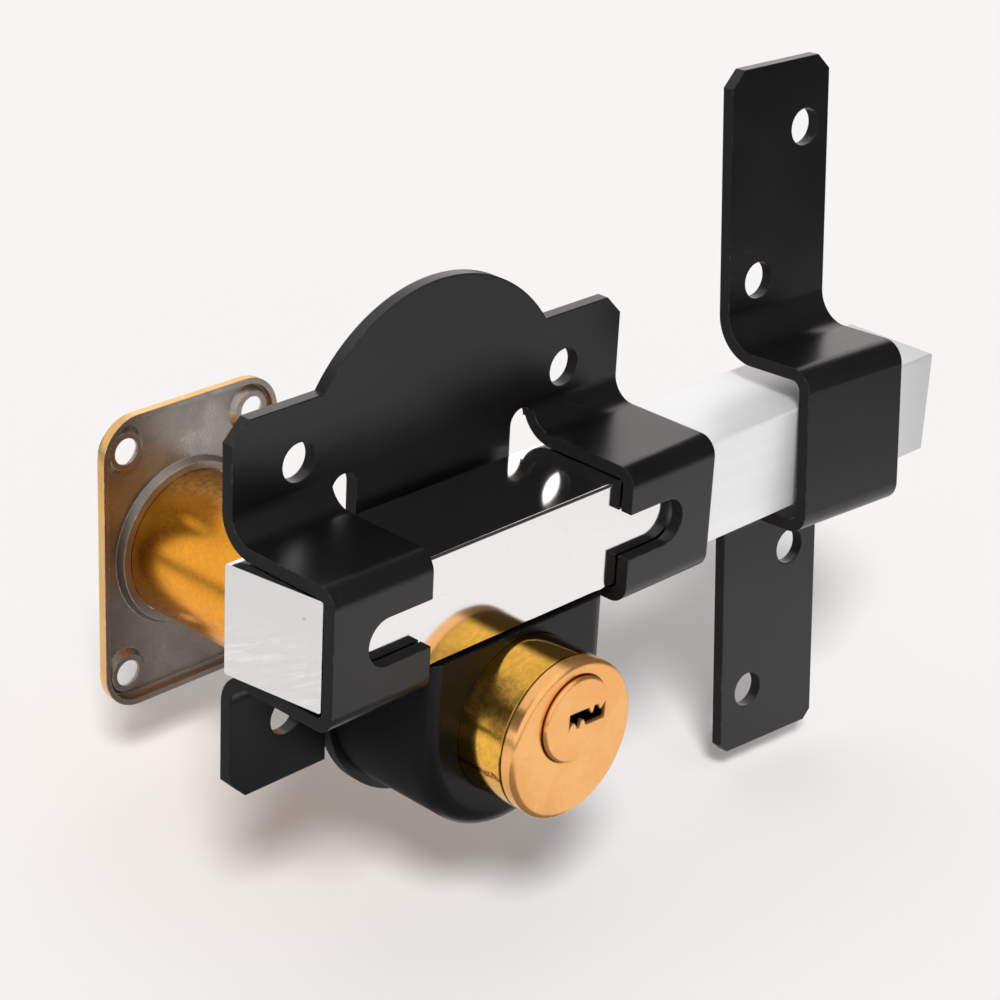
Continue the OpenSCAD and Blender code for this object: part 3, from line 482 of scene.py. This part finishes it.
def rear_plate_material():
    """Dished plate: heat-tinted grey where it faces the gate, pale gold on its sides and its outer face.

    The grey reaches to a rounded outline just inside the plate's sides, and to all that faces the gate.
    """
    material, tree, surface, place = start_material("rear_plate_grey_and_gold")
    x, y, z = axes(tree, place)
    half_w, back, half_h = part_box("rear_plate")[1]
    past_x = calc(tree, "SUBTRACT", calc(tree, "ABSOLUTE", x), half_w - PLATE_CORNER)
    past_z = calc(tree, "SUBTRACT", calc(tree, "ABSOLUTE", z), half_h - PLATE_CORNER)
    past = [calc(tree, "MAXIMUM", past_x, 0.0), 0.0, calc(tree, "MAXIMUM", past_z, 0.0)]
    reach = length(tree, put(tree, "CombineXYZ", past).outputs[0])
    within = fade(tree, reach, PLATE_CORNER - 0.8 * MM, PLATE_CORNER - 1.3 * MM)
    gate_side = calc(tree, "MAXIMUM", within, fade(tree, facing(tree)[1], -0.35, -0.6))
    inside = times(tree, gate_side, fade(tree, y, back - 0.35 * MM, back - 0.5 * MM))
    cloud = noise(tree, place, scale=55.0, detail=4.0, rough=0.6, warp=0.3)
    patch = use(tree, PATCHES, vector=place, scale=110.0, speckle=1500.0, contrast=0.14)
    scuff = use(tree, DUST, vector=place, scale=900.0, share=0.25, size=0.22)["Mask"]
    scuffed = times(tree, scuff, fade(tree, noise(tree, place, scale=95.0), 0.55, 0.7),
                    fade(tree, z, 0.0, 20 * MM))
    edge = use(tree, SOFT_EDGE, vector=place, radius=0.3 * MM, breakup=800.0)
    steel = layered(tree, STEEL_BROWN,
                    (fade(tree, cloud, 0.36, 0.66), STEEL_CLOUD),
                    # The grey turns paler towards the top and darker towards negative x.
                    (times(tree, fade(tree, z, 4 * MM, 22 * MM), 0.75), STEEL_PALE),
                    (times(tree, patch["Mask"], 0.35), STEEL_PATCH),
                    (times(tree, fade(tree, x, -2 * MM, -18 * MM), 0.7), STEEL_DARK),
                    (times(tree, scuffed, 0.7), STEEL_SCUFF))
    lines = noise(tree, stretched(tree, place, (900, 900, 60)), scale=1.0, detail=3.0, rough=0.6)
    gold = layered(tree, GOLD_PLATE,
                   (times(tree, patch["Mask"], 0.6), GOLD_DEEP),
                   (fade(tree, lines, 0.58, 0.75), GOLD_LINE))
    colour = layered(tree, gold, (inside, steel),
                     (times(tree, edge["Edge"], 0.35), PLATE_EDGE),
                     (edge["Worn"], PLATE_CHIP))
    rough = plus(tree, 0.34, times(tree, inside, -0.08), times(tree, patch["Mask"], 0.1))
    metal = calc(tree, "SUBTRACT", 1.0, times(tree, inside, 0.15))
    feed(tree, surface, base_color=colour, metallic=metal, roughness=rough,
         normal=bumped(tree, patch["Fine"], 0.12, 0.05 * MM, edge["Normal"]))
    return material


def small_metal_material(name, light, deep, rough_low):
    """Plain turned or plated metal of the inner pieces, with fine grain and slight staining."""
    material, tree, surface, place = start_material(name)
    patch = use(tree, PATCHES, vector=place, scale=220.0, speckle=2400.0, contrast=0.15)
    edge = use(tree, SOFT_EDGE, vector=place, radius=0.1 * MM, breakup=1500.0)
    colour = layered(tree, light, (patch["Mask"], deep), (times(tree, edge["Edge"], 0.4), light))
    rough = plus(tree, rough_low, times(tree, patch["Mask"], 0.12))
    feed(tree, surface, base_color=colour, metallic=1.0, roughness=rough,
         normal=bumped(tree, patch["Fine"], 0.08, 0.03 * MM, edge["Normal"]))
    return material


def dress(material, *names):
    """Gives the named CAD nodes a material."""
    for name in names:
        for slot in NODES[name].material_slots:
            slot.link = "OBJECT"
            slot.material = material


dress(black_coat_material("black_powder_coat", gloss=0.5), "lock_plate", "keep")
dress(black_coat_material("matt_black_housing", gloss=0.24), "housing")
dress(bolt_material(), "bolt")
dress(barrel_material("front_barrel_brass", **FRONT_BRASS), "front_barrel")
dress(barrel_material("rear_barrel_brass", **REAR_BRASS), "rear_barrel")
dress(face_material(), "front_face_ring", "front_plug", "rear_face_ring", "rear_plug")
dress(rear_plate_material(), "rear_plate")
dress(small_metal_material("pin_brass", (0.78, 0.58, 0.22, 1), (0.6, 0.4, 0.13, 1), rough_low=0.25),
      "front_key_pins", "rear_key_pins")
dress(small_metal_material("zinc_plated_steel", (0.72, 0.73, 0.75, 1), (0.58, 0.59, 0.6, 1), rough_low=0.3),
      "housing_screws", "front_clip", "rear_clip", "front_drivers", "rear_drivers", "front_springs",
      "rear_springs")
dress(small_metal_material("cut_gear_steel", (0.56, 0.57, 0.59, 1), (0.42, 0.42, 0.43, 1), rough_low=0.3),
      "pinion", "coupling_bar")
dress(small_metal_material("bronze", (0.68, 0.46, 0.2, 1), (0.52, 0.32, 0.12, 1), rough_low=0.3),
      "thrust_washer")


# Floor, light and camera

PAPER = (0.930, 0.910, 0.902, 1)
PAPER_PALE = (0.940, 0.925, 0.918, 1)
MIRRORED_PAINTED_DARK = grey(0.04)
FLOOR_LEVEL = -47 * MM
FLOOR_HALF = 4.0
FLOOR_STEPS = 4
# Where the floor is painted dim in a reflection: an oval at the front left, a painted shadow of the lock, and
# all that is far off, a painted dark surround.
# The oval's scale is one over its half size in metres, about 75 by 50 mm, and leaves its height out.
OVAL_SHIFT = (50 * MM, 60 * MM, 0.0)
OVAL_SCALE = (13.3, 20.0, 0.0001)
FAR_START, FAR_FULL = 160 * MM, 600 * MM


def floor_material():
    """Pale paper; in a reflection it is painted dim before the lock as a shadow, and again far off as a dark
    surround.
    """
    material, tree, surface, place = start_material("pale_floor")
    tone = noise(tree, place, scale=6.0)
    mirrored = put(tree, "LightPath").outputs["Is Glossy Ray"]
    oval = length(tree, stretched(tree, place, OVAL_SCALE, shift=OVAL_SHIFT))
    # Painted shadow near the lock and painted dark surround far off, both seen only in reflections.
    before = fade(tree, oval, 1.18, 0.98)
    far = fade(tree, length(tree, place), FAR_START, FAR_FULL)
    colour = layered(tree, PAPER,
                     (tone, PAPER_PALE),
                     (times(tree, before, mirrored, 0.85), MIRRORED_PAINTED_DARK),
                     (times(tree, far, mirrored), MIRRORED_PAINTED_DARK))
    feed(tree, surface, base_color=colour, roughness=0.7)
    surface.inputs["Specular IOR Level"].default_value = 0.1
    return material


def make_floor():
    """A flat square grid: x and y each run from -half to half in equal steps, and z is the floor's level."""
    steps = np.linspace(-FLOOR_HALF, FLOOR_HALF, FLOOR_STEPS + 1)
    x, y = np.meshgrid(steps, steps)
    points = np.stack([x, y, np.full_like(x, FLOOR_LEVEL)], -1).reshape(-1, 3)
    row = FLOOR_STEPS + 1
    count = np.arange(FLOOR_STEPS)
    low = (count[:, None] * row + count[None, :]).reshape(-1)
    faces = np.stack([low, low + 1, low + row + 1, low + row], -1)
    mesh = bpy.data.meshes.new("floor")
    mesh.from_pydata(points.tolist(), [], faces.tolist())
    floor = bpy.data.objects.new("floor", mesh)
    bpy.context.scene.collection.objects.link(floor)
    mesh.materials.append(floor_material())


WORLD_LIGHT = 0.47
STUDIO_PALE = (0.95, 0.945, 0.94, 1)
STUDIO_DIM = (0.05, 0.048, 0.046, 1)
BACK_WALL = (1.45, 1.40, 1.38, 1)
BACK_WALL_WAY = (0.68, 0.63, 0.38)
BACKDROP = (0.93, 0.92, 0.91, 1)


def make_world():
    """Pale for the camera, and half as bright for soft light.

    What metal mirrors is a pale studio that is dim on the right and has a bright wall at the back.
    """
    world = bpy.data.worlds.new("studio")
    bpy.context.scene.world = world
    world.use_nodes = True
    tree = world.node_tree
    tree.nodes.clear()
    ray = put(tree, "LightPath").outputs
    way = put(tree, "TexCoord").outputs["Generated"]
    x, y, _ = axes(tree, way)
    dim = times(tree, fade(tree, x, 0.38, 0.58), fade(tree, y, 0.60, 0.40))
    lit_wall = fade(tree, dot(tree, way, BACK_WALL_WAY), 0.90, 0.96)
    mirrored = layered(tree, STUDIO_PALE, (dim, STUDIO_DIM), (lit_wall, BACK_WALL))
    shown = layered(tree, grey(WORLD_LIGHT),
                    (ray["Is Glossy Ray"], mirrored),
                    (ray["Is Camera Ray"], BACKDROP))
    sky = put(tree, "Background", {"Color": shown, "Strength": 1.0})
    tree.links.new(sky.outputs[0], put(tree, "OutputWorld").inputs[0])


KEY_WAY = (-0.53, -0.56, 0.80)
KEY_WIDTH = radians(14)
KEY_STRENGTH = 2.3


def add_key_light():
    """A far soft light that shines from KEY_WAY and looks KEY_WIDTH wide; metal doesn't mirror it."""
    data = bpy.data.lights.new("key_light", "SUN")
    data.energy = KEY_STRENGTH
    data.angle = KEY_WIDTH
    lamp = bpy.data.objects.new("key_light", data)
    bpy.context.scene.collection.objects.link(lamp)
    lamp.rotation_euler = Vector(KEY_WAY).to_track_quat("Z", "Y").to_euler()
    lamp.visible_glossy = False


CAMERA_PLACE = (-0.31384, -0.30878, 0.24004)
CAMERA_TURN = (radians(64.650), radians(-2.786), radians(-45.849))
CAMERA_LENS = 102.35
SENSOR_WIDTH = 36.0


def make_camera():
    """The photograph's point of view, found by fitting a pinhole camera to it."""
    data = bpy.data.cameras.new("camera")
    data.lens = CAMERA_LENS
    data.sensor_width = SENSOR_WIDTH
    data.clip_start = 0.01
    data.clip_end = 20.0
    camera = bpy.data.objects.new("camera", data)
    camera.location = CAMERA_PLACE
    camera.rotation_euler = Euler(CAMERA_TURN, "XYZ")
    bpy.context.scene.collection.objects.link(camera)
    bpy.context.scene.camera = camera


make_floor()
make_world()
add_key_light()
make_camera()
bpy.context.scene.view_settings.view_transform = "Standard"
